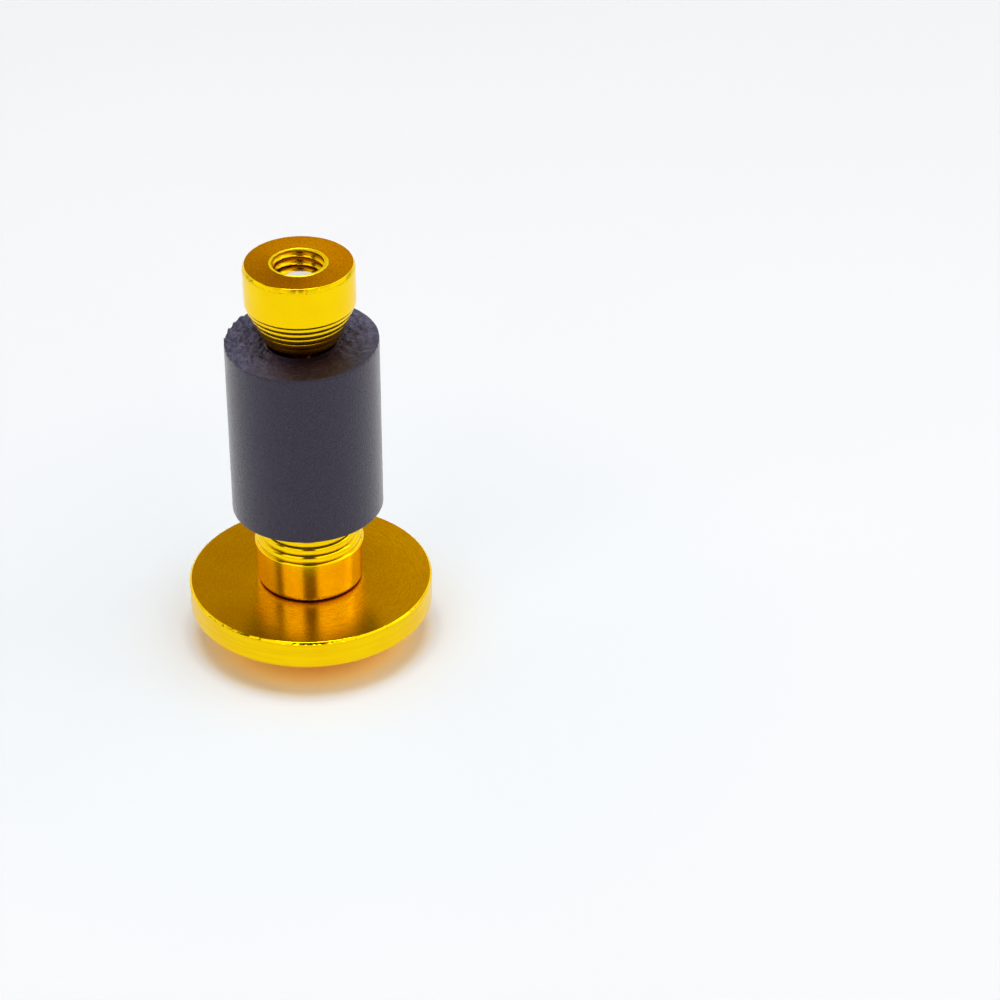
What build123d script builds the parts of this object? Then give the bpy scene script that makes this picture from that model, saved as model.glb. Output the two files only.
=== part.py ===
from build123d import *
import math
import os

# Bar end weight for a handlebar tube, in millimetres.
# The axis is +Z. The cap stands on its front ring at Z = 0, and the screw draws
# the nut at the top down towards the cap, so that both wedges swell the sleeve.

# End cap
cap_diameter = 28.0
ring_diameter = 13.0
cone_height = 4.3
rim_width = 3.35
rim_chamfer = 0.25
mouth_bevel = 0.25

# Socket head cap screw, M6 x 40
screw_diameter = 6.0
screw_length = 40.0
tip_bevel = 0.8
head_diameter = 10.0
head_height = 6.0
head_bevel = 0.55
hex_across_flats = 5.0
hex_depth = 3.2
hex_lead_in = 0.25
drill_point_angle = 120.0

# Collar with the front wedge
collar_diameter = 12.1
collar_length = 4.9
foot_bevel = 0.6
front_wedge_diameter = 12.48

# Nut with the rear wedge
nut_diameter = 12.4
nut_length = 4.7
nut_edge_bevel = 0.4
thread_mouth_bevel = 0.12

# Rubber sleeve
sleeve_diameter = 17.2
sleeve_bore = 8.0
sleeve_length = 21.45

# Wedges
wedge_angle = 24.4
wedge_tip_wall = 0.35
first_groove = 0.5
ridge_pitch = 0.85
ridge_land = 0.55
ridge_depth = 0.2

# Clearances, on the radius unless named otherwise
head_clearance = 0.3
head_recess = 0.2
shank_clearance = 0.2
thread_clearance = 0.05
wedge_clearance = 0.05

# Radii that more than one piece uses
shank_radius = screw_diameter / 2
head_radius = head_diameter / 2
screw_hole_radius = shank_radius + shank_clearance
thread_radius = shank_radius + thread_clearance
counterbore_radius = head_radius + head_clearance
seat_radius = sleeve_bore / 2 - wedge_clearance
wedge_slope = math.tan(math.radians(wedge_angle))

# Heights, stacked from the front ring to the back of the nut
head_seat = head_recess + head_height
cap_back = cone_height + rim_width
collar_top = cap_back + collar_length
sleeve_bottom = collar_top + (front_wedge_diameter / 2 - seat_radius) / wedge_slope
sleeve_top = sleeve_bottom + sleeve_length
nut_shoulder = sleeve_top + (nut_diameter / 2 - seat_radius) / wedge_slope
nut_back = nut_shoulder + nut_length
screw_tip = head_seat + screw_length


def turn(outline):
    # Revolve a closed outline of (radius, height) points about the axis.
    return revolve(make_face(Plane.XZ * Polyline(*outline, close=True)), axis=Axis.Z)


def wedge_side(shoulder, base_radius, hole_radius, direction):
    # Points down the side of a wedge from its shoulder to its tip: grooves part the
    # ridges on the taper that stays in view, and a plain land enters the sleeve's bore.
    def on_taper(distance, depth=0.0):
        return base_radius - distance * wedge_slope - depth, shoulder + direction * distance

    shown = (base_radius - seat_radius) / wedge_slope
    flank = (ridge_pitch - ridge_land) / 2
    tip_radius = hole_radius + wedge_tip_wall
    tip = (base_radius - tip_radius) / wedge_slope
    points = [on_taper(0)]
    for groove in range(math.floor((shown - first_groove) / ridge_pitch)):
        middle = first_groove + groove * ridge_pitch
        points.append(on_taper(middle - flank))
        points.append(on_taper(middle, ridge_depth))
        points.append(on_taper(middle + flank))
    points.append(on_taper(tip))
    points.append((hole_radius, shoulder + direction * tip))
    return points


def end_cap():
    # Flat ring, cone, cylindrical rim, flat back, screw hole and counterbore.
    cap_radius = cap_diameter / 2
    ring_radius = ring_diameter / 2
    cone_angle = math.atan2(cone_height, cap_radius - ring_radius)
    return turn([
        (counterbore_radius + mouth_bevel, 0),
        (ring_radius, 0),
        (cap_radius - rim_chamfer * math.cos(cone_angle), cone_height - rim_chamfer * math.sin(cone_angle)),
        (cap_radius, cone_height + rim_chamfer),
        (cap_radius, cap_back - rim_chamfer),
        (cap_radius - rim_chamfer, cap_back),
        (screw_hole_radius, cap_back),
        (screw_hole_radius, head_seat),
        (counterbore_radius, head_seat),
        (counterbore_radius, mouth_bevel)])


def front_cone():
    # Plain collar with a bevelled foot on the back of the cap, then the ridged wedge into the sleeve.
    collar_radius = collar_diameter / 2
    collar = [
        (screw_hole_radius, cap_back),
        (collar_radius - foot_bevel, cap_back),
        (collar_radius, cap_back + foot_bevel),
        (collar_radius, collar_top)]
    return turn(collar + wedge_side(collar_top, front_wedge_diameter / 2, screw_hole_radius, 1))


def rubber_sleeve():
    # Plain tube between the two wedges.
    return turn([
        (sleeve_bore / 2, sleeve_bottom),
        (sleeve_diameter / 2, sleeve_bottom),
        (sleeve_diameter / 2, sleeve_top),
        (sleeve_bore / 2, sleeve_top)])


def rear_cone_nut():
    # Plain cylinder with a threaded hole, then the ridged wedge into the sleeve.
    nut_radius = nut_diameter / 2
    body = [
        (thread_radius, nut_back - thread_mouth_bevel),
        (thread_radius + thread_mouth_bevel, nut_back),
        (nut_radius - nut_edge_bevel, nut_back),
        (nut_radius, nut_back - nut_edge_bevel)]
    return turn(body + wedge_side(nut_shoulder, nut_radius, thread_radius, -1))


def socket_screw():
    # Cylindrical head with a hexagon socket, and a shank that ends in a bevel.
    blank = turn([
        (0, head_recess),
        (head_radius - head_bevel, head_recess),
        (head_radius, head_recess + head_bevel),
        (head_radius, head_seat),
        (shank_radius, head_seat),
        (shank_radius, screw_tip - tip_bevel),
        (shank_radius - tip_bevel, screw_tip),
        (0, screw_tip)])
    corner_radius = hex_across_flats / math.sqrt(3)
    hexagon = Plane.XY.offset(head_recess) * RegularPolygon(corner_radius, 6)
    socket = extrude(hexagon, amount=hex_depth)
    lead_in_radius = corner_radius + hex_lead_in
    lead_in = turn([
        (0, head_recess),
        (lead_in_radius, head_recess),
        (0, head_recess + lead_in_radius)])
    drill_radius = hex_across_flats / 2
    drill_floor = head_recess + hex_depth
    drill_point = turn([
        (0, drill_floor),
        (drill_radius, drill_floor),
        (0, drill_floor + drill_radius / math.tan(math.radians(drill_point_angle / 2)))])
    return blank - socket - lead_in - drill_point


pieces = {
    "end_cap": end_cap(),
    "front_cone": front_cone(),
    "rubber_sleeve": rubber_sleeve(),
    "rear_cone_nut": rear_cone_nut(),
    "socket_screw": socket_screw(),
}

os.makedirs("parts", exist_ok=True)
for name, solid in pieces.items():
    export_step(solid, f"parts/{name}.step")
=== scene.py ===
import math
import bmesh
import bpy
from mathutils import Euler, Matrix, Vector, noise


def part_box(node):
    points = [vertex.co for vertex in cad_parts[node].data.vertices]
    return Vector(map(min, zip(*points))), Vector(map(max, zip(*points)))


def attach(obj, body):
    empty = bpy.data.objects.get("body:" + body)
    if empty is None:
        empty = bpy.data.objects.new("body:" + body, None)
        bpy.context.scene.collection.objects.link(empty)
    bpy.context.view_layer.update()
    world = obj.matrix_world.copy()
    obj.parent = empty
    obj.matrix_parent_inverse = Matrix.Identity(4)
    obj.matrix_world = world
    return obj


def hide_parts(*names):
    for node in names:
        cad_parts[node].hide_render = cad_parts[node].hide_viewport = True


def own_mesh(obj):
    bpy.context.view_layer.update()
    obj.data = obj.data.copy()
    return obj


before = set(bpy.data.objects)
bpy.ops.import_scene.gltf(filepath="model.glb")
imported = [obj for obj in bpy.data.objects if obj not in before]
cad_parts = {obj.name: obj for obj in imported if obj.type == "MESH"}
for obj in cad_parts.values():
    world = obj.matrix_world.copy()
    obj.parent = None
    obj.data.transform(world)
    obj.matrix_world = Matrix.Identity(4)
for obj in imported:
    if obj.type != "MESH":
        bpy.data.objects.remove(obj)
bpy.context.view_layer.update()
mm = 0.001
fullTurn = 2 * math.pi


# helpers for turned shapes: a row is (section, radius, height) in mm
latheLook = dict(weld=0.00002, sharpAngle=28, knockTurn=0.6)


def stretch(section, start, end, steps):  # rows from start up to, but not including, end
    rows = []
    for i in range(steps):
        t = i / steps
        rows.append((section, start[0] + (end[0] - start[0]) * t, start[1] + (end[1] - start[1]) * t))
    return rows


def softCorners(corners, arcSteps=5):  # corner: (section, radius, height, cut back each way)
    rows = []
    for i, (section, radius, height, cut) in enumerate(corners):
        if cut == 0:
            rows.append((section, radius, height))
            continue
        before = corners[i - 1]
        after = corners[(i + 1) % len(corners)]
        here = Vector((radius, height))
        start = here + (Vector(before[1:3]) - here).normalized() * cut
        end = here + (Vector(after[1:3]) - here).normalized() * cut
        for k in range(arcSteps + 1):
            t = k / arcSteps
            p = start * (1 - t) ** 2 + here * 2 * t * (1 - t) + end * t ** 2
            rows.append((before[0] if t < 0.5 else section, p.x, p.y))
    return rows


def lathe(name, rows, segments, finishes, warp=None, closed=True):
    turns = [fullTurn * i / segments for i in range(segments)]
    points = []
    for section, radius, height in rows:
        for turn in turns:
            r, z = warp(section, radius, height, turn) if warp else (radius, height)
            points.append((r * math.cos(turn) * mm, r * math.sin(turn) * mm, z * mm))
    bands = len(rows) if closed else len(rows) - 1
    faces = []
    for band in range(bands):
        low = band * segments
        high = (band + 1) % len(rows) * segments
        for i in range(segments):
            j = (i + 1) % segments
            faces.append((low + i, low + j, high + j, high + i))
    mesh = bpy.data.meshes.new(name)
    mesh.from_pydata(points, [], faces)
    materials = list(dict.fromkeys(finishes.values()))
    for material in materials:
        mesh.materials.append(material)
    for band in range(bands):
        index = materials.index(finishes[rows[band][0]])
        for i in range(band * segments, (band + 1) * segments):
            mesh.polygons[i].material_index = index
    work = bmesh.new()
    work.from_mesh(mesh)
    bmesh.ops.remove_doubles(work, verts=work.verts, dist=latheLook["weld"] * mm)  # closes the poles
    work.to_mesh(mesh)
    work.free()
    mesh.polygons.foreach_set("use_smooth", [True] * len(mesh.polygons))
    mesh.set_sharp_from_angle(angle=math.radians(latheLook["sharpAngle"]))
    piece = bpy.data.objects.new(name, mesh)
    bpy.context.scene.collection.objects.link(piece)
    return piece


def seat(piece, body, node):  # every piece stands for one CAD node
    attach(piece, body)
    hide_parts(node)
    print("  ", piece.name, len(piece.data.polygons), "faces")


def ringNoise(turn, lobes, seed):  # noise round the axis, from -1 to 1
    return noise.noise(Vector((math.cos(turn) * lobes, math.sin(turn) * lobes, seed)))


def knocks(turn, lobes, seed, spared, depth):  # dents round an edge, most of them on the front left
    front = 0.5 - 0.5 * math.sin(turn + latheLook["knockTurn"])
    return max(0, ringNoise(turn, lobes, seed) - spared) * depth * front


def nodeSize(node):  # outer radius, bottom and top of a CAD node, in mm
    low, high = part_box(node)
    return high.x / mm, low.z / mm, high.z / mm


# helpers for materials
cloudRange = (0.35, 0.65)  # where noise turns from one colour into the other
markRange = (0.42, 0.68)
roughRange = (0.3, 0.7)


def newMaterial(name):
    material = bpy.data.materials.new(name)
    material.use_nodes = True
    tree = material.node_tree
    return material, tree, tree.nodes["Principled BSDF"]


def addNode(tree, kind, **sockets):
    node = tree.nodes.new(kind)
    for socket, value in sockets.items():
        node.inputs[socket.replace("_", " ")].default_value = value
    return node


def mixColours(tree, factor, first, second):  # each colour is a value or a socket
    mix = tree.nodes.new("ShaderNodeMix")
    mix.data_type = "RGBA"
    for socket, colour in (("A", first), ("B", second)):
        if isinstance(colour, tuple):
            mix.inputs[socket].default_value = (*colour, 1)
        else:
            tree.links.new(colour, mix.inputs[socket])
    tree.links.new(factor, mix.inputs["Factor"])
    return mix.outputs["Result"]


def ramp(tree, value, fromMin, fromMax, toMin, toMax):
    node = addNode(tree, "ShaderNodeMapRange", From_Min=fromMin, From_Max=fromMax, To_Min=toMin, To_Max=toMax)
    tree.links.new(value, node.inputs["Value"])
    return node.outputs["Result"]


def turningMarks(tree, along, perMm, breaks):  # fine streaks round the axis that a lathe tool leaves
    place = tree.nodes.new("ShaderNodeTexCoord")
    axes = tree.nodes.new("ShaderNodeSeparateXYZ")
    tree.links.new(place.outputs["Object"], axes.inputs["Vector"])
    flat = tree.nodes.new("ShaderNodeCombineXYZ")
    tree.links.new(axes.outputs["X"], flat.inputs["X"])
    tree.links.new(axes.outputs["Y"], flat.inputs["Y"])
    reach = tree.nodes.new("ShaderNodeVectorMath")
    reach.operation = "LENGTH"
    tree.links.new(flat.outputs["Vector"], reach.inputs[0])
    facing = tree.nodes.new("ShaderNodeVectorMath")
    facing.operation = "NORMALIZE"
    tree.links.new(flat.outputs["Vector"], facing.inputs[0])
    circle = tree.nodes.new("ShaderNodeVectorMath")
    circle.operation = "SCALE"
    circle.inputs["Scale"].default_value = breaks
    tree.links.new(facing.outputs["Vector"], circle.inputs[0])
    across = tree.nodes.new("ShaderNodeMath")
    across.operation = "MULTIPLY"
    across.inputs[1].default_value = perMm / mm
    tree.links.new(axes.outputs["Z"] if along == "height" else reach.outputs["Value"], across.inputs[0])
    stack = tree.nodes.new("ShaderNodeCombineXYZ")
    tree.links.new(across.outputs["Value"], stack.inputs["Z"])
    polar = tree.nodes.new("ShaderNodeVectorMath")
    polar.operation = "ADD"
    tree.links.new(circle.outputs["Vector"], polar.inputs[0])
    tree.links.new(stack.outputs["Vector"], polar.inputs[1])
    streaks = addNode(tree, "ShaderNodeTexNoise", Scale=1, Detail=3, Roughness=0.6)
    tree.links.new(polar.outputs["Vector"], streaks.inputs["Vector"])
    return place.outputs["Object"], reach.outputs["Value"], streaks.outputs["Fac"]


goldShared = dict(cloudPerMm=0.22, dim=0.6, smoother=0.03, rougher=0.04, relief=0.002, blurTurn=0.25)


def goldFinish(name, look):
    shared = goldShared
    material, tree, shader = newMaterial(name)
    place, reach, lines = turningMarks(tree, look["along"], look["perMm"], look["breaks"])
    cloud = addNode(tree, "ShaderNodeTexNoise", Scale=shared["cloudPerMm"] / mm, Detail=3)
    tree.links.new(place, cloud.inputs["Vector"])
    grain = addNode(tree, "ShaderNodeTexNoise", Scale=look["grainPerMm"] / mm, Detail=2)
    tree.links.new(place, grain.inputs["Vector"])
    specks = grain.outputs["Fac"]
    patches = ramp(tree, cloud.outputs["Fac"], *cloudRange, 0, 1)
    shade = mixColours(tree, patches, look["colour"], look["deep"])
    if "hollowShade" in look:  # painted shade: darker in the hollows, where shade falls
        start, end, dark = look["hollowShade"]
        shade = mixColours(tree, ramp(tree, reach, start * mm, end * mm, 0, 1), shade, dark)
    dim = tuple(shared["dim"] * c for c in look["deep"])
    shade = mixColours(tree, ramp(tree, lines, *markRange, 0, look["lineShade"]), shade, dim)
    shade = mixColours(tree, ramp(tree, specks, *markRange, 0, look["grainShade"]), shade, dim)
    tree.links.new(shade, shader.inputs["Base Color"])
    smooth, dull = look["rough"] - shared["smoother"], look["rough"] + shared["rougher"]
    tree.links.new(ramp(tree, lines, *roughRange, smooth, dull), shader.inputs["Roughness"])
    fine = addNode(tree, "ShaderNodeBump", Strength=look["grainStrength"], Distance=shared["relief"] * mm)
    tree.links.new(specks, fine.inputs["Height"])
    bump = addNode(tree, "ShaderNodeBump", Strength=look["lineStrength"], Distance=shared["relief"] * mm)
    tree.links.new(lines, bump.inputs["Height"])
    tree.links.new(fine.outputs["Normal"], bump.inputs["Normal"])
    tree.links.new(bump.outputs["Normal"], shader.inputs["Normal"])
    shader.inputs["Metallic"].default_value = 1
    shader.inputs["Specular Tint"].default_value = (*look["edge"], 1)
    shader.inputs["Anisotropic"].default_value = look["brushed"]
    if look["brushed"] > 0:
        tangent = tree.nodes.new("ShaderNodeTangent")
        tangent.direction_type = "RADIAL"
        tangent.axis = "Z"
        tree.links.new(tangent.outputs["Tangent"], shader.inputs["Tangent"])
        shader.inputs["Anisotropic Rotation"].default_value = shared["blurTurn"]  # across the marks
    return material


goldLooks = {
    "goldPolished": dict(colour=(1.0, 0.7, 0.002), deep=(0.98, 0.65, 0.002), edge=(1, 0.97, 0.88),
                         rough=0.13, brushed=0.0, along="height", perMm=6, breaks=3,
                         lineStrength=0.1, lineShade=0.0, grainPerMm=6, grainStrength=0.15, grainShade=0.06),
    "goldRim": dict(colour=(1.0, 0.66, 0.002), deep=(0.98, 0.6, 0.002), edge=(1, 0.95, 0.85),
                    rough=0.18, brushed=0.0, along="height", perMm=3, breaks=1.5,
                    lineStrength=1.0, lineShade=0.22, grainPerMm=9, grainStrength=0.15, grainShade=0.05),
    "goldSatin": dict(colour=(0.97, 0.52, 0.0), deep=(0.93, 0.46, 0.0), edge=(1, 0.7, 0.1),
                      rough=0.24, brushed=0.65, along="radius", perMm=6, breaks=9,
                      lineStrength=1.0, lineShade=0.55, grainPerMm=6, grainStrength=0.9, grainShade=0.5),
    "goldSandy": dict(colour=(0.84, 0.37, 0.0), deep=(0.77, 0.31, 0.0), edge=(1, 0.7, 0.1),
                      rough=0.24, brushed=0.0, along="radius", perMm=6, breaks=12,
                      lineStrength=0.5, lineShade=0.1, grainPerMm=5, grainStrength=1.0, grainShade=0.75),
    # goldCollarLit: lighter and yellower than the polished gold of the same piece, painted light on the
    # collar
    "goldCollarLit": dict(colour=(1.0, 0.8, 0.001), deep=(0.97, 0.74, 0.001), edge=(1, 0.8, 0.3),
                       rough=0.18, brushed=0.0, along="height", perMm=6, breaks=6,
                       lineStrength=0.4, lineShade=0.1, grainPerMm=6, grainStrength=0.9, grainShade=0.3),
    "goldBurr": dict(colour=(1.0, 0.86, 0.03), deep=(1.0, 0.74, 0.01), edge=(1, 0.9, 0.4),
                     rough=0.45, brushed=0.0, along="radius", perMm=6, breaks=6,
                     lineStrength=0.2, lineShade=0.0, grainPerMm=9, grainStrength=1.2, grainShade=0.2),
    "goldTurned": dict(colour=(0.98, 0.54, 0.002), deep=(0.95, 0.48, 0.002), edge=(1, 0.9, 0.6),
                       rough=0.2, brushed=0.6, along="radius", perMm=6, breaks=3,
                       lineStrength=0.8, lineShade=0.2, grainPerMm=9, grainStrength=0.1, grainShade=0.05),
    # goldThread and goldRidges get painted shade in their hollows
    "goldThread": dict(colour=(0.98, 0.62, 0.002), deep=(0.95, 0.56, 0.002), edge=(1, 0.9, 0.6),
                       rough=0.16, brushed=0.0, along="height", perMm=6, breaks=3,
                       lineStrength=0.3, lineShade=0.1, grainPerMm=9, grainStrength=0.2, grainShade=0.1,
                       hollowShade=(2.8, 2.96, (0.3, 0.09, 0.0))),
    "goldRidges": dict(colour=(1.0, 0.68, 0.002), deep=(0.98, 0.63, 0.002), edge=(1, 0.95, 0.8),
                       rough=0.13, brushed=0.0, along="height", perMm=6, breaks=3,
                       lineStrength=0.1, lineShade=0.0, grainPerMm=6, grainStrength=0.15, grainShade=0.06,
                       hollowShade=(5.7, 4.4, (0.6, 0.22, 0.0))),
    # goldFootShade: dark brown in the slot under the collar, painted shade
    "goldFootShade": dict(colour=(0.25, 0.08, 0.0), deep=(0.18, 0.05, 0.0), edge=(0.6, 0.3, 0.1),
                     rough=0.2, brushed=0.0, along="radius", perMm=4, breaks=4,
                     lineStrength=0.3, lineShade=0.2, grainPerMm=5, grainStrength=0.4, grainShade=0.2),
}
gold = {name: goldFinish(name, look) for name, look in goldLooks.items()}
print("gold finishes made")


rubberIor = 1.45
rubberSideLook = dict(colour=(0.006, 0.002, 0.018), worn=(0.034, 0.023, 0.06), wornRange=(0.36, 0.64),
                      rough=0.3, smoother=0.05, rougher=0.06, sheen=0.6, sheenRough=0.35,
                      grainPerMm=5, grainRelief=0.06,
                      mouldPerMm=3, mouldStretch=(1, 1, 0.06), mouldStrength=0.25, mouldRelief=0.02)
rubberCutLook = dict(colour=(0.062, 0.06, 0.115), pale=(0.125, 0.12, 0.215), paleRange=(0.4, 0.68),
                     rough=0.44, roughSpread=0.1, crumbsPerMm=1.3, crumbRelief=0.12, shine=0.45,
                     # front: painted shadow of the nut on the cut
                     front=(0.008, 0.003, 0.009), shadowPlace=(2.5, -6.5, 39), shadowCore=3, shadowEnd=11)


def rubberSideFinish():
    look = rubberSideLook
    material, tree, shader = newMaterial("rubberSide")
    place = tree.nodes.new("ShaderNodeTexCoord")
    drawn = tree.nodes.new("ShaderNodeMapping")  # long marks down the sleeve from the mould
    drawn.inputs["Scale"].default_value = look["mouldStretch"]
    tree.links.new(place.outputs["Object"], drawn.inputs["Vector"])
    streaks = addNode(tree, "ShaderNodeTexNoise", Scale=look["mouldPerMm"] / mm, Detail=3)
    tree.links.new(drawn.outputs["Vector"], streaks.inputs["Vector"])
    grain = addNode(tree, "ShaderNodeTexNoise", Scale=look["grainPerMm"] / mm, Detail=3, Roughness=0.6)
    tree.links.new(place.outputs["Object"], grain.inputs["Vector"])
    specks = grain.outputs["Fac"]
    shade = mixColours(tree, ramp(tree, specks, *look["wornRange"], 0, 1), look["colour"], look["worn"])
    tree.links.new(shade, shader.inputs["Base Color"])
    smooth, dull = look["rough"] - look["smoother"], look["rough"] + look["rougher"]
    tree.links.new(ramp(tree, specks, *roughRange, smooth, dull), shader.inputs["Roughness"])
    fine = addNode(tree, "ShaderNodeBump", Strength=1.0, Distance=look["grainRelief"] * mm)
    tree.links.new(specks, fine.inputs["Height"])
    bump = addNode(tree, "ShaderNodeBump", Strength=look["mouldStrength"], Distance=look["mouldRelief"] * mm)
    tree.links.new(streaks.outputs["Fac"], bump.inputs["Height"])
    tree.links.new(fine.outputs["Normal"], bump.inputs["Normal"])
    tree.links.new(bump.outputs["Normal"], shader.inputs["Normal"])
    shader.inputs["IOR"].default_value = rubberIor
    shader.inputs["Sheen Weight"].default_value = look["sheen"]
    shader.inputs["Sheen Roughness"].default_value = look["sheenRough"]
    return material


def rubberCutFinish():
    look = rubberCutLook
    material, tree, shader = newMaterial("rubberCut")
    place = tree.nodes.new("ShaderNodeTexCoord")
    crumbs = addNode(tree, "ShaderNodeTexNoise", Scale=look["crumbsPerMm"] / mm, Detail=5, Roughness=0.5)
    tree.links.new(place.outputs["Object"], crumbs.inputs["Vector"])
    specks = crumbs.outputs["Fac"]
    shade = mixColours(tree, ramp(tree, specks, *look["paleRange"], 0, 1), look["colour"], look["pale"])
    fromShadow = tree.nodes.new("ShaderNodeVectorMath")  # painted shadow of the nut: the front of the cut is darker
    fromShadow.operation = "DISTANCE"
    fromShadow.inputs[1].default_value = tuple(c * mm for c in look["shadowPlace"])
    tree.links.new(place.outputs["Object"], fromShadow.inputs[0])
    away = ramp(tree, fromShadow.outputs["Value"], look["shadowCore"] * mm, look["shadowEnd"] * mm, 0, 1)
    shade = mixColours(tree, away, look["front"], shade)
    tree.links.new(shade, shader.inputs["Base Color"])
    dull, smooth = look["rough"] + look["roughSpread"], look["rough"] - look["roughSpread"]
    tree.links.new(ramp(tree, specks, *roughRange, dull, smooth), shader.inputs["Roughness"])
    bump = addNode(tree, "ShaderNodeBump", Strength=1.0, Distance=look["crumbRelief"] * mm)
    tree.links.new(specks, bump.inputs["Height"])
    tree.links.new(bump.outputs["Normal"], shader.inputs["Normal"])
    shader.inputs["IOR"].default_value = rubberIor
    shader.inputs["Specular IOR Level"].default_value = look["shine"]
    return material


zincShared = dict(marksPerMm=6, markBreaks=4, markStrength=0.3, markRelief=0.003, cloudPerMm=0.8,
                  smoother=0.06, rougher=0.08)
zincLook = dict(colour=(0.82, 0.83, 0.83), deep=(0.7, 0.73, 0.72), rough=0.28, metal=1.0)
zincTipLook = dict(colour=(0.87, 0.87, 0.9), deep=(0.8, 0.8, 0.84), rough=0.6, metal=0.0)  # dull cut end


def zincFinish(name, look):
    shared = zincShared
    material, tree, shader = newMaterial(name)
    place, _, lines = turningMarks(tree, "radius", shared["marksPerMm"], shared["markBreaks"])
    cloud = addNode(tree, "ShaderNodeTexNoise", Scale=shared["cloudPerMm"] / mm, Detail=4)
    tree.links.new(place, cloud.inputs["Vector"])
    patches = ramp(tree, cloud.outputs["Fac"], *cloudRange, 0, 1)
    shade = mixColours(tree, patches, look["colour"], look["deep"])
    tree.links.new(shade, shader.inputs["Base Color"])
    smooth, dull = look["rough"] - shared["smoother"], look["rough"] + shared["rougher"]
    tree.links.new(ramp(tree, cloud.outputs["Fac"], *roughRange, smooth, dull), shader.inputs["Roughness"])
    bump = addNode(tree, "ShaderNodeBump", Strength=shared["markStrength"],
                   Distance=shared["markRelief"] * mm)
    tree.links.new(lines, bump.inputs["Height"])
    tree.links.new(bump.outputs["Normal"], shader.inputs["Normal"])
    shader.inputs["Metallic"].default_value = look["metal"]
    return material


rubberSide = rubberSideFinish()
rubberCut = rubberCutFinish()
zinc = zincFinish("zincPlate", zincLook)
zincTip = zincFinish("zincTip", zincTipLook)
print("rubber and zinc finishes made")


# end cap: flat ring, turned cone, rim, flat back, counterbore for the screw's head
capLook = dict(ringRadius=6.5, coneHeight=4.3, chamfer=0.22, mouthBevel=0.25, boreRadius=5.3, seatHeight=6.2,
               holeRadius=3.2, grooves=34, grooveRows=3, grooveDepth=0.012, plainCone=0.2,
               softEdge=0.05, ringRound=0.1, rimRound=0.08, backRound=0.06,
               nickLobes=60, nickSeed=4.2, nickSpared=0.1, nickDepth=0.2, nickSink=0.3, segments=480)


def makeEndCap():
    cap = capLook
    radius, bottom, back = nodeSize("end_cap")
    chamfer, soft = cap["chamfer"], cap["softEdge"]
    slope = math.atan2(cap["coneHeight"], radius - cap["ringRadius"])
    coneEnd = (radius - chamfer * math.cos(slope), cap["coneHeight"] - chamfer * math.sin(slope))
    plain = cap["plainCone"]
    coneStart = (cap["ringRadius"] + plain * math.cos(slope), bottom + plain * math.sin(slope))
    rows = softCorners([
        ("bore", cap["boreRadius"], cap["seatHeight"], 0),
        ("mouth", cap["boreRadius"], bottom + cap["mouthBevel"], soft),
        ("ring", cap["boreRadius"] + cap["mouthBevel"], bottom, soft),
        ("cone", cap["ringRadius"], bottom, cap["ringRound"]),
        ("cone", *coneStart, 0)])[:-1]
    cone = stretch("cone", coneStart, coneEnd, cap["grooves"] * cap["grooveRows"])
    for i, (section, r, z) in enumerate(cone):  # tool marks on the cone
        dip = cap["grooveDepth"] * (0.5 - 0.5 * math.cos(fullTurn * i / cap["grooveRows"]))
        rows.append((section, r - dip * math.sin(slope), z + dip * math.cos(slope)))
    rows += softCorners([
        ("cone", *coneStart, 0),
        ("edge", *coneEnd, soft),
        ("rim", radius, cap["coneHeight"] + chamfer, cap["rimRound"]),
        ("edge", radius, back - chamfer, soft),
        ("back", radius - chamfer, back, cap["backRound"]),
        ("hole", cap["holeRadius"], back, soft),
        ("seat", cap["holeRadius"], cap["seatHeight"], 0)])[1:]

    def nicks(section, r, z, turn):
        if section == "edge" and z > back - 2 * chamfer:
            dent = knocks(turn, cap["nickLobes"], cap["nickSeed"], cap["nickSpared"], cap["nickDepth"])
            return (r - dent, z) if z < back - chamfer / 2 else (r, z - dent * cap["nickSink"])
        return r, z

    finishes = dict(mouth=gold["goldPolished"], ring=gold["goldTurned"], cone=gold["goldTurned"],
                    edge=gold["goldPolished"], rim=gold["goldRim"], back=gold["goldSatin"],
                    hole=gold["goldPolished"], seat=gold["goldTurned"], bore=gold["goldPolished"])
    return lathe("endCap", rows, cap["segments"], finishes, nicks)


print("building pieces")
seat(makeEndCap(), "plug", "end_cap")


# rounded ridges with sharp valleys that both wedges share
wedgeLook = dict(angle=24.4, pitch=0.85, firstValley=0.5, ridges=6, lip=-0.05, steps=16, tipWall=0.35)


def ridgeFall(t, curl):  # how far in a ridge has fallen, from its wide end at 0 to its narrow end at 1
    wedge = wedgeLook
    slope = math.tan(math.radians(wedge["angle"]))
    return wedge["pitch"] * (wedge["lip"] * t + (slope - wedge["lip"]) * t ** (curl + 1))


def wedgeRows(shoulder, valleyRadius, widest, holeRadius, start, curl, direction):  # from shoulder to tip
    wedge = wedgeLook
    slope = math.tan(math.radians(wedge["angle"]))
    rows = []
    for ridge in range(wedge["ridges"]):
        valley = wedge["firstValley"] + (ridge - 1) * wedge["pitch"]  # where the ridge begins, down the wedge
        for k in range(wedge["steps"]):
            t = k / wedge["steps"]
            if ridge + t >= start:
                radius = min(widest, valleyRadius - valley * slope - ridgeFall(t, curl))
                rows.append(("ridges", radius, shoulder + direction * (valley + t * wedge["pitch"])))
    tipRadius = holeRadius + wedge["tipWall"]
    rows.append(("tip", tipRadius, shoulder + direction * (valleyRadius - tipRadius) / slope))
    return rows


def backwards(rows):  # the same outline the other way, each stretch keeping its section
    return [(rows[i - 1][0], *rows[i][1:]) for i in range(len(rows) - 1, 0, -1)] + [rows[0]]


coneLook = dict(collarRadius=6.1, collarTop=12.55, lipRadius=6.25, valleyRadius=6.22, footRound=0.8,
                footSteps=14, holeRadius=3.2, startRidge=0.41, curl=2.2, segments=256)


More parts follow.
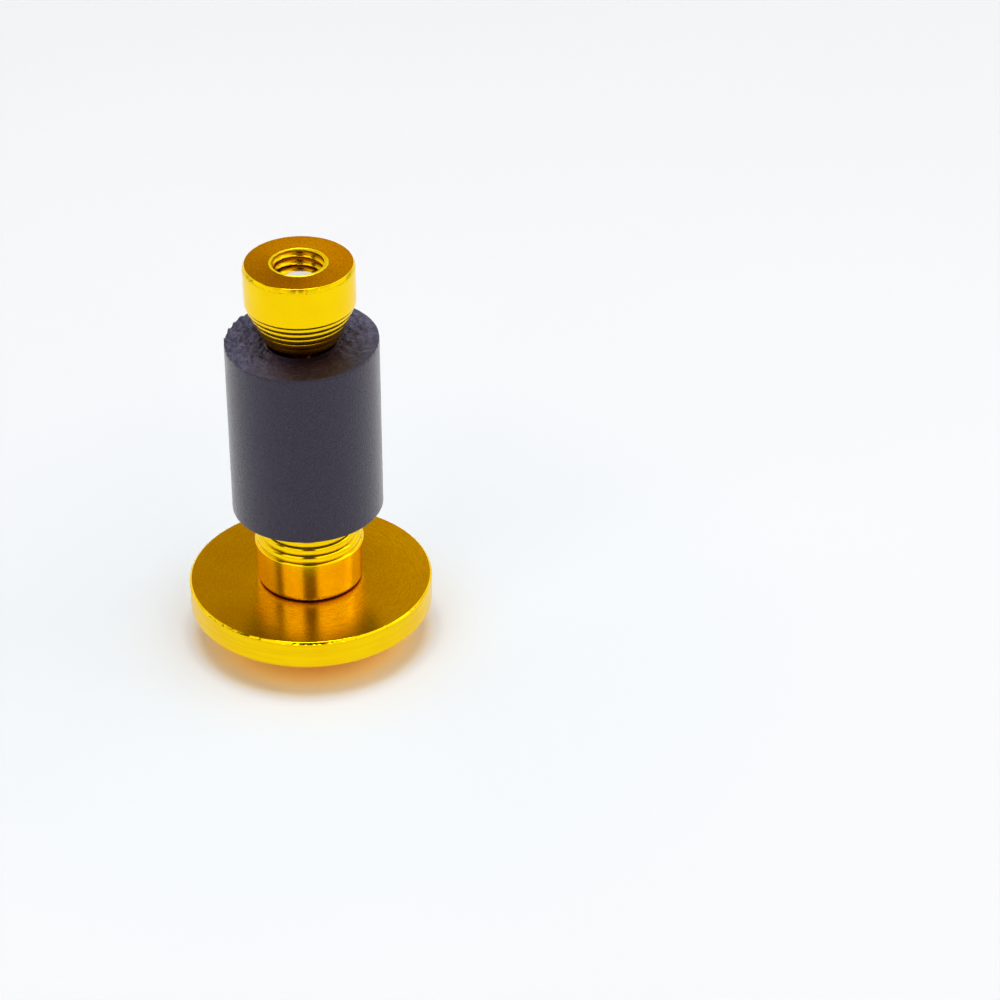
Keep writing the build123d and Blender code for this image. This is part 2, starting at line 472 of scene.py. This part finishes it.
def makeFrontCone():
    cone = coneLook
    bottom = nodeSize("front_cone")[1]
    radius = cone["collarRadius"]
    rows = softCorners([
        ("foot", cone["holeRadius"], bottom, 0),
        ("collar", radius, bottom, cone["footRound"]),
        ("shoulder", radius, cone["collarTop"], 0)], arcSteps=cone["footSteps"])
    rows += wedgeRows(cone["collarTop"], cone["valleyRadius"], cone["lipRadius"], cone["holeRadius"],
                      cone["startRidge"], cone["curl"], 1)
    rows.append(("hole", cone["holeRadius"], rows[-1][2]))
    # the foot under the collar takes the painted shade of the slot
    finishes = dict(foot=gold["goldFootShade"], collar=gold["goldCollarLit"], shoulder=gold["goldPolished"],
                    ridges=gold["goldPolished"], tip=gold["goldTurned"], hole=gold["goldPolished"])
    return lathe("frontCone", rows, cone["segments"], finishes)


seat(makeFrontCone(), "plug", "front_cone")


# screw thread, shared by the screw and the nut so that they stay in step
threadLook = dict(pitch=1.0, start=0.65, crest=2.97, root=2.42, flankFoot=0.78, flankWidth=0.64,
                  nutCrest=2.66, nutRoot=3.03, nutFullness=0.7, rowsPerTurn=14)


def threadPhase(height, turn):  # 0 and 1 at the nut's crest, a half at the screw's
    return (height / threadLook["pitch"] - turn / fullTurn - threadLook["start"]) % 1


def threadRadius(height, turn):
    away = abs(threadPhase(height, turn) - 0.5) * 2
    rise = min(1, max(0, (threadLook["flankFoot"] - away) / threadLook["flankWidth"]))
    return threadLook["root"] + (threadLook["crest"] - threadLook["root"]) * rise


def nutThreadRadius(height, turn):
    depth = 0.5 - 0.5 * math.cos(fullTurn * threadPhase(height, turn))
    rise = threadLook["nutRoot"] - threadLook["nutCrest"]
    return threadLook["nutCrest"] + rise * depth ** threadLook["nutFullness"]


nutLook = dict(shoulder=44.01, sideEnd=43.8, sideRound=0.24, valleyRadius=6.18, startRidge=1, curl=1.3,
               edgeIn=0.22, edgeDown=0.52, edgeRound=0.1, topRound=0.08,
               mouthOuter=3.28, lipCrest=3.14, mouthInner=3.0, lipRise=0.08, mouthDrop=0.16, lipSteps=7,
               threadDrop=1.4, burr=0.05, burrLobes=7, burrSeed=2.4,
               nickLobes=30, nickSeed=1.7, nickSpared=0.05, nickDepth=0.3, nickShare=0.5, segments=320)


def makeRearNut():
    nut = nutLook
    radius, _, back = nodeSize("rear_cone_nut")
    top = back - nut["lipRise"]
    nutRoot = threadLook["nutRoot"]
    ridges = backwards(wedgeRows(nut["shoulder"], nut["valleyRadius"], radius, nutRoot, nut["startRidge"],
                                 nut["curl"], -1))
    tip = ridges[0][2]
    rows = [("tip", nutRoot, tip)] + ridges
    rows += softCorners([
        (*ridges[-1], 0),
        ("side", radius, nut["sideEnd"], nut["sideRound"]),
        ("edge", radius, top - nut["edgeDown"], nut["edgeRound"]),
        ("top", radius - nut["edgeIn"], top, nut["topRound"]),
        ("mouth", nut["mouthOuter"], top, 0)])[1:-1]
    for k in range(nut["lipSteps"]):  # the tap has thrown up a rounded lip round the hole
        t = k / nut["lipSteps"]
        lipRadius = nut["mouthOuter"] + (nut["lipCrest"] - nut["mouthOuter"]) * t
        rows.append(("mouth", lipRadius, top + nut["lipRise"] * (0.5 - 0.5 * math.cos(math.pi * t))))
    for k in range(nut["lipSteps"] + 1):
        t = math.pi / 2 * k / nut["lipSteps"]
        lipRadius = nut["lipCrest"] + (nut["mouthInner"] - nut["lipCrest"]) * math.sin(t)
        rows.append(("mouth", lipRadius, back - nut["mouthDrop"] * (1 - math.cos(t))))
    turns = (back - tip) / threadLook["pitch"]
    threadEnd = back - nut["threadDrop"] * nut["mouthDrop"]
    rows += stretch("thread", (nutRoot, threadEnd), (nutRoot, tip), round(turns * threadLook["rowsPerTurn"]))

    def threadAndNicks(section, r, z, turn):
        if section == "thread" and z <= threadEnd:
            return nutThreadRadius(z, turn), z
        if section == "mouth":
            return r + nut["burr"] * ringNoise(turn, nut["burrLobes"], nut["burrSeed"]), z
        if section == "edge" and z < top - nut["edgeDown"] / 2:
            dent = knocks(turn, nut["nickLobes"], nut["nickSeed"], nut["nickSpared"], nut["nickDepth"])
            return r - dent * nut["nickShare"], z
        return r, z

    finishes = dict(side=gold["goldPolished"], edge=gold["goldPolished"], top=gold["goldSandy"],
                    mouth=gold["goldBurr"], thread=gold["goldThread"], ridges=gold["goldRidges"],
                    tip=gold["goldTurned"])
    return lathe("rearNut", rows, nut["segments"], finishes, threadAndNicks)


seat(makeRearNut(), "nut", "rear_cone_nut")


# rubber sleeve: moulded side, ends cut off roughly and a little out of square
sleeveLook = dict(bore=4.0, heelIn=0.12, heelRound=0.1, heelUp=0.3, topEdgeIn=0.04, topEdgeDown=0.1,
                  bottomRows=16, sideRows=40, edgeRows=3, topRows=52, boreRows=12,
                  slantReach=3, lean=0.02, sink=0.15, heelLean=0.012,
                  wildLeast=0.08, wildBase=0.3, wildBack=0.7, wildLeft=0.75, wildRight=0.25,
                  tear=0.6, tearPerMm=1.15, tearSeed=3.1, tearSmooth=0.9, tearFiner=2.1, tearLayers=4,
                  cleanBand=1.2, cleanTear=0.05, blend=0.4,
                  edgeTear=0.24, edgeFrom=0.95, chipLobes=24, chipSeed=6.3, chipMean=0.35, segments=420)


def makeRubberSleeve():
    sleeve = sleeveLook
    radius, bottom, top = nodeSize("rubber_sleeve")
    bore = sleeve["bore"]
    heelRadius, heelTop = radius - sleeve["heelIn"], bottom + sleeve["heelUp"]
    topRadius, edgeLow = radius - sleeve["topEdgeIn"], top - sleeve["topEdgeDown"]
    rows = stretch("bottom", (bore, bottom), (heelRadius, bottom), sleeve["bottomRows"])
    rows += softCorners([
        ("bottom", heelRadius, bottom, 0),
        ("side", radius, bottom, sleeve["heelRound"]),
        ("side", radius, heelTop, 0)])[:-1]
    rows += stretch("side", (radius, heelTop), (radius, edgeLow), sleeve["sideRows"])
    rows += stretch("side", (radius, edgeLow), (topRadius, top), sleeve["edgeRows"])
    rows += stretch("top", (topRadius, top), (bore, top), sleeve["topRows"])
    rows += stretch("bore", (bore, top), (bore, bottom), sleeve["boreRows"])

    def wildness(x, y):  # how rough the cut is: clean at the front, torn at the back and the left
        left, right = max(0, -x / radius), max(0, x / radius)
        wild = (sleeve["wildBase"] + sleeve["wildBack"] * y / radius + sleeve["wildLeft"] * left
                + sleeve["wildRight"] * right)
        return min(1, max(sleeve["wildLeast"], wild))

    def torn(section, r, z, turn):
        x, y = r * math.cos(turn), r * math.sin(turn)
        reach = sleeve["slantReach"]
        high = max(0, (z - (top - reach)) / reach)  # the slant fades out away from each end
        z += (sleeve["lean"] * (x + y) - sleeve["sink"]) * high
        if z < bottom + reach:
            z += sleeve["heelLean"] * x * (1 - (z - bottom) / reach)
        wild = wildness(x, y)
        if section == "top":
            fine = sleeve["tearPerMm"]
            place = Vector((x * fine, y * fine, sleeve["tearSeed"]))
            lumps = noise.fractal(place, sleeve["tearSmooth"], sleeve["tearFiner"], sleeve["tearLayers"])
            left = max(0, -x / radius)
            bandEdge = radius - sleeve["cleanBand"] * (1 - left)  # clean outside this, apart from the left
            inner = min(1, max(0, (bandEdge + sleeve["blend"] - r) / sleeve["blend"]))
            share = sleeve["cleanTear"] + (1 - sleeve["cleanTear"]) * inner
            z += sleeve["tear"] * wild * share * lumps * min(1, (r - bore) / sleeve["blend"])
        if section == "side" and high > sleeve["edgeFrom"]:
            chips = ringNoise(turn, sleeve["chipLobes"], sleeve["chipSeed"])
            atEdge = (high - sleeve["edgeFrom"]) / (1 - sleeve["edgeFrom"])
            r += sleeve["edgeTear"] * wild * (chips - sleeve["chipMean"]) * atEdge
        return r, z

    finishes = dict(bottom=rubberCut, side=rubberSide, top=rubberCut, bore=rubberSide)
    return lathe("rubberSleeve", rows, sleeve["segments"], finishes, torn)


rubberSleeve = makeRubberSleeve()
seat(rubberSleeve, "plug", "rubber_sleeve")
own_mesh(rubberSleeve)


# socket head screw: knurled head, hexagon socket, plain shank, thread and bevelled tip
screwLook = dict(hexFlats=5.0, hexDepth=3.2, leadIn=0.25, drillShare=0.98, drillHalfAngle=60,
                 headHeight=6.0, headBevel=0.55, bevelRound=0.12, seatRound=0.06, neckRound=0.1,
                 knurls=48, knurlDepth=0.12, knurlEnd=0.3, threadLength=24.0,
                 tipBevel=0.55, tipRound=0.04, tipStep=0.05, dimple=0.3, dimpleWaist=0.6, dimpleSide=0.18,
                 dimpleDepth=0.25, drillRows=6, hexRows=8, bevelRows=12, tipRows=6, segments=192)


def makeSocketScrew():
    screw = screwLook
    headRadius, face, tip = nodeSize("socket_screw")
    headTop = face + screw["headHeight"]
    flat = screw["hexFlats"] / 2
    corner = flat / math.cos(math.pi / 6)
    floor = face + screw["hexDepth"]
    drillRadius = flat * screw["drillShare"]
    point = floor + flat / math.tan(math.radians(screw["drillHalfAngle"]))
    threadStart = tip - screw["threadLength"]
    shank = threadLook["crest"]
    bevelStart = tip - screw["tipBevel"]
    tipRadius = shank - screw["tipBevel"]
    dimple = screw["dimple"]
    rows = stretch("drill", (0, point), (drillRadius, floor), screw["drillRows"])
    rows += [("floor", drillRadius, floor)]
    rows += stretch("hex", (corner, floor), (corner, face + screw["leadIn"]), screw["hexRows"])
    rows += [("leadIn", corner, face + screw["leadIn"])]
    rows += softCorners([
        ("face", corner + screw["leadIn"], face, 0.0),
        ("face", headRadius - screw["headBevel"], face, screw["bevelRound"]),
        ("knurl", headRadius, face + screw["headBevel"], screw["bevelRound"]),
        ("knurl", headRadius, headTop - screw["knurlEnd"], 0.0),
        ("seat", headRadius, headTop, screw["seatRound"]),
        ("shank", shank, headTop, screw["neckRound"]),
        ("shank", shank, threadStart, 0.0)])
    rows += stretch("thread", (shank, threadStart), (shank, bevelStart),
                    round(threadLook["rowsPerTurn"] * (screw["threadLength"] - screw["tipBevel"])))
    rows += stretch("thread", (shank, bevelStart), (tipRadius, tip - screw["tipRound"]), screw["bevelRows"])
    rows += [("tip", tipRadius - screw["tipStep"], tip)]
    rows += stretch("tip", (tipRadius - 2 * screw["tipStep"], tip), (dimple, tip), screw["tipRows"])
    rows += [("tip", dimple, tip),  # turning centre in the end
             ("tip", dimple * screw["dimpleWaist"], tip - screw["dimpleSide"]),
             ("tip", 0, tip - screw["dimpleDepth"])]

    def shapeRound(section, r, z, turn):
        hexRadius = flat / math.cos((turn % (math.pi / 3)) - math.pi / 6)
        if section == "hex":
            return hexRadius, z
        if section == "leadIn":
            return hexRadius, face + corner + screw["leadIn"] - hexRadius
        if section == "knurl":
            wave = abs(math.sin(turn * screw["knurls"] / 2))
            return r - screw["knurlDepth"] * (1 - wave), z
        if section == "thread":
            fade = min(1, max(0, (z - threadStart) / threadLook["pitch"]))
            return min(r, shank + (threadRadius(z, turn) - shank) * fade), z
        return r, z

    finishes = dict(drill=zinc, floor=zinc, hex=zinc, leadIn=zinc, face=zinc, knurl=zinc, seat=zinc,
                    shank=zinc, thread=zinc, tip=zincTip)
    return lathe("socketScrew", rows, screw["segments"], finishes, shapeRound, closed=False)


seat(makeSocketScrew(), "screw", "socket_screw")


# studio: white floor, soft boxes round the part, pale horizon
# coolTint: painted light on the floor near the cap
floorLook = dict(halfSize=2.0, drop=0.02, holeRadius=6.2, holeSegments=64, rough=0.8, shine=0.1, cloudScale=8,
                 colour=(0.86, 0.86, 0.87), seen=(0.955, 0.96, 0.975), seenShade=(0.945, 0.95, 0.965),
                 glow=(1.33, 1.18, 0.62), glowCore=10.5, glowEnd=14.5, coolTint=(0.915, 0.965, 1.0), coolTintEnd=75)


def showsBackground(tree):  # 1 for rays that show the background to the eye, in metal too
    path = tree.nodes.new("ShaderNodeLightPath")
    either = path.outputs["Is Camera Ray"]
    for kind in ("Is Glossy Ray", "Is Transmission Ray"):
        largest = tree.nodes.new("ShaderNodeMath")
        largest.operation = "MAXIMUM"
        tree.links.new(either, largest.inputs[0])
        tree.links.new(path.outputs[kind], largest.inputs[1])
        either = largest.outputs["Value"]
    return either


def makeFloor():
    size = floorLook["halfSize"]
    mesh = bpy.data.meshes.new("studioFloor")
    segments = floorLook["holeSegments"]
    points = []
    for i in range(segments):  # hole under the part, which lets light in when it is seen from below
        x, y = math.cos(fullTurn * i / segments), math.sin(fullTurn * i / segments)
        reach = size / max(abs(x), abs(y))
        for r in (floorLook["holeRadius"] * mm, reach):
            points.append((x * r, y * r, -floorLook["drop"] * mm))
    count = len(points)
    faces = [(i, i + 1, (i + 3) % count, (i + 2) % count) for i in range(0, count, 2)]
    mesh.from_pydata(points, [], faces)
    floor = bpy.data.objects.new("studioFloor", mesh)
    bpy.context.scene.collection.objects.link(floor)
    material, tree, shader = newMaterial("whiteFloor")
    place = tree.nodes.new("ShaderNodeTexCoord")
    cloud = addNode(tree, "ShaderNodeTexNoise", Scale=floorLook["cloudScale"], Detail=2)
    tree.links.new(place.outputs["Object"], cloud.inputs["Vector"])
    seen = mixColours(tree, ramp(tree, cloud.outputs["Fac"], *cloudRange, 0, 1),
                      floorLook["seen"], floorLook["seenShade"])
    fromAxis = tree.nodes.new("ShaderNodeVectorMath")
    fromAxis.operation = "LENGTH"
    tree.links.new(place.outputs["Object"], fromAxis.inputs[0])
    away = fromAxis.outputs["Value"]
    core, end, coolTintEnd = (floorLook[edge] * mm for edge in ("glowCore", "glowEnd", "coolTintEnd"))
    seen = mixColours(tree, ramp(tree, away, end, coolTintEnd, 0, 1), floorLook["coolTint"], seen)  # painted light: cool by the cap, cancelling the warm light the gold throws on the floor
    seen = mixColours(tree, ramp(tree, away, core, end, 0, 1), floorLook["glow"], seen)  # gold light under it
    shade = mixColours(tree, showsBackground(tree), floorLook["colour"], seen)
    tree.links.new(shade, shader.inputs["Base Color"])
    shader.inputs["Roughness"].default_value = floorLook["rough"]
    shader.inputs["Specular IOR Level"].default_value = floorLook["shine"]
    side = tree.nodes.new("ShaderNodeNewGeometry")  # seen from below the floor is clear
    clear = tree.nodes.new("ShaderNodeBsdfTransparent")
    either = tree.nodes.new("ShaderNodeMixShader")
    tree.links.new(side.outputs["Backfacing"], either.inputs["Fac"])
    tree.links.new(shader.outputs["BSDF"], either.inputs[1])
    tree.links.new(clear.outputs["BSDF"], either.inputs[2])
    tree.links.new(either.outputs["Shader"], tree.nodes["Material Output"].inputs["Surface"])
    mesh.materials.append(material)


makeFloor()

aimHeight = 0.02  # the boxes stand round this point on the axis
softBoxes = {  # azimuth and elevation in degrees from the front, size in metres, radiance
    "frontLeft": dict(azimuth=-37, elevation=46, distance=0.7, width=0.42, height=0.5, radiance=1.05,
                      upright=True),
    "frontRight": dict(azimuth=60, elevation=46, distance=0.7, width=0.9, height=0.5, radiance=1.05,
                       upright=True),
    "backLeft": dict(azimuth=-118, elevation=36, distance=0.7, width=1.0, height=0.4, radiance=0.44),
    "backRight": dict(azimuth=118, elevation=36, distance=0.7, width=0.55, height=0.4, radiance=0.6),
    "back": dict(azimuth=168, elevation=36, distance=0.7, width=0.3, height=0.3, radiance=0.26),
    "top": dict(azimuth=0, elevation=88, distance=0.8, width=0.46, height=0.38, radiance=6.2),
}


def makeSoftBox(name, box):
    lamp = bpy.data.lights.new(name, "AREA")
    lamp.shape = "RECTANGLE"
    lamp.size = box["width"]
    lamp.size_y = box["height"]
    lamp.energy = box["radiance"] * math.pi * box["width"] * box["height"]
    azimuth = math.radians(box["azimuth"])
    elevation = math.radians(box["elevation"])
    out = Vector((math.sin(azimuth) * math.cos(elevation), -math.cos(azimuth) * math.cos(elevation),
                  math.sin(elevation)))
    holder = bpy.data.objects.new(name, lamp)
    holder.location = out * box["distance"] + Vector((0, 0, aimHeight))
    facing = Vector((out.x, out.y, 0)) if box.get("upright") else out
    holder.rotation_euler = facing.to_track_quat("Z", "Y").to_euler()
    holder.visible_camera = False
    bpy.context.scene.collection.objects.link(holder)


for boxName, softBox in softBoxes.items():
    makeSoftBox(boxName, softBox)


skyLook = dict(horizon=0.16, high=0.62, white=(1.0, 1.0, 1.0), grey=(0.26, 0.18, 0.14),
               fillRange=(0.1, 0.6), fillLow=0.02, fillHigh=0.3, backdrop=(0.93, 0.935, 0.95),
               gaps=((2, 14), (-69, 8)), gapSoft=6, gapLow=0.2, gapHigh=0.42, gapColour=(0.09, 0.035, 0.015))


def makeWorld():
    world = bpy.data.worlds.new("studio")
    bpy.context.scene.world = world
    world.use_nodes = True
    tree = world.node_tree
    place = tree.nodes.new("ShaderNodeTexCoord")
    axes = tree.nodes.new("ShaderNodeSeparateXYZ")
    tree.links.new(place.outputs["Generated"], axes.inputs["Vector"])
    height = axes.outputs["Z"]
    shade = mixColours(tree, ramp(tree, height, skyLook["horizon"], skyLook["high"], 0, 1),
                       skyLook["white"], skyLook["grey"])  # white at the horizon
    flat = tree.nodes.new("ShaderNodeCombineXYZ")
    tree.links.new(axes.outputs["X"], flat.inputs["X"])
    tree.links.new(axes.outputs["Y"], flat.inputs["Y"])
    facing = tree.nodes.new("ShaderNodeVectorMath")
    facing.operation = "NORMALIZE"
    tree.links.new(flat.outputs["Vector"], facing.inputs[0])
    for middle, half in skyLook["gaps"]:  # dark gaps between the boxes, the first where the camera stands
        azimuth = math.radians(middle)
        toGap = tree.nodes.new("ShaderNodeVectorMath")
        toGap.operation = "DOT_PRODUCT"
        toGap.inputs[1].default_value = (math.sin(azimuth), -math.cos(azimuth), 0)
        tree.links.new(facing.outputs["Vector"], toGap.inputs[0])
        gapSide = math.cos(math.radians(half + skyLook["gapSoft"]))
        gapCore = math.cos(math.radians(half - skyLook["gapSoft"]))
        gap = tree.nodes.new("ShaderNodeMath")
        gap.operation = "MULTIPLY"
        tree.links.new(ramp(tree, toGap.outputs["Value"], gapSide, gapCore, 0, 1), gap.inputs[0])
        tree.links.new(ramp(tree, height, skyLook["gapLow"], skyLook["gapHigh"], 0, 1), gap.inputs[1])
        shade = mixColours(tree, gap.outputs["Value"], shade, skyLook["gapColour"])
    path = tree.nodes.new("ShaderNodeLightPath")
    shade = mixColours(tree, path.outputs["Is Camera Ray"], shade, skyLook["backdrop"])
    fill = tree.nodes["Background"]
    tree.links.new(ramp(tree, height, *skyLook["fillRange"], skyLook["fillLow"], skyLook["fillHigh"]),
                   fill.inputs["Color"])
    backdrop = tree.nodes.new("ShaderNodeBackground")
    tree.links.new(shade, backdrop.inputs["Color"])
    either = tree.nodes.new("ShaderNodeMixShader")
    tree.links.new(showsBackground(tree), either.inputs["Fac"])
    tree.links.new(fill.outputs["Background"], either.inputs[1])
    tree.links.new(backdrop.outputs["Background"], either.inputs[2])
    tree.links.new(either.outputs["Shader"], tree.nodes["World Output"].inputs["Surface"])


makeWorld()
bpy.context.scene.view_settings.view_transform = "Standard"
print("studio made")


cameraLook = dict(place=(0.022003, -0.304887, 0.218007), tiltDown=33.392, lens=115.2, sensor=36,
                  shiftX=-0.001, shiftY=0.005)
lensData = bpy.data.cameras.new("photoCamera")
lensData.lens = cameraLook["lens"]
lensData.sensor_width = cameraLook["sensor"]
lensData.shift_x = cameraLook["shiftX"]
lensData.shift_y = cameraLook["shiftY"]
camera = bpy.data.objects.new("photoCamera", lensData)
camera.location = cameraLook["place"]
camera.rotation_euler = Euler((math.radians(90 - cameraLook["tiltDown"]), 0, 0))
bpy.context.scene.collection.objects.link(camera)
bpy.context.scene.camera = camera
print("camera set")
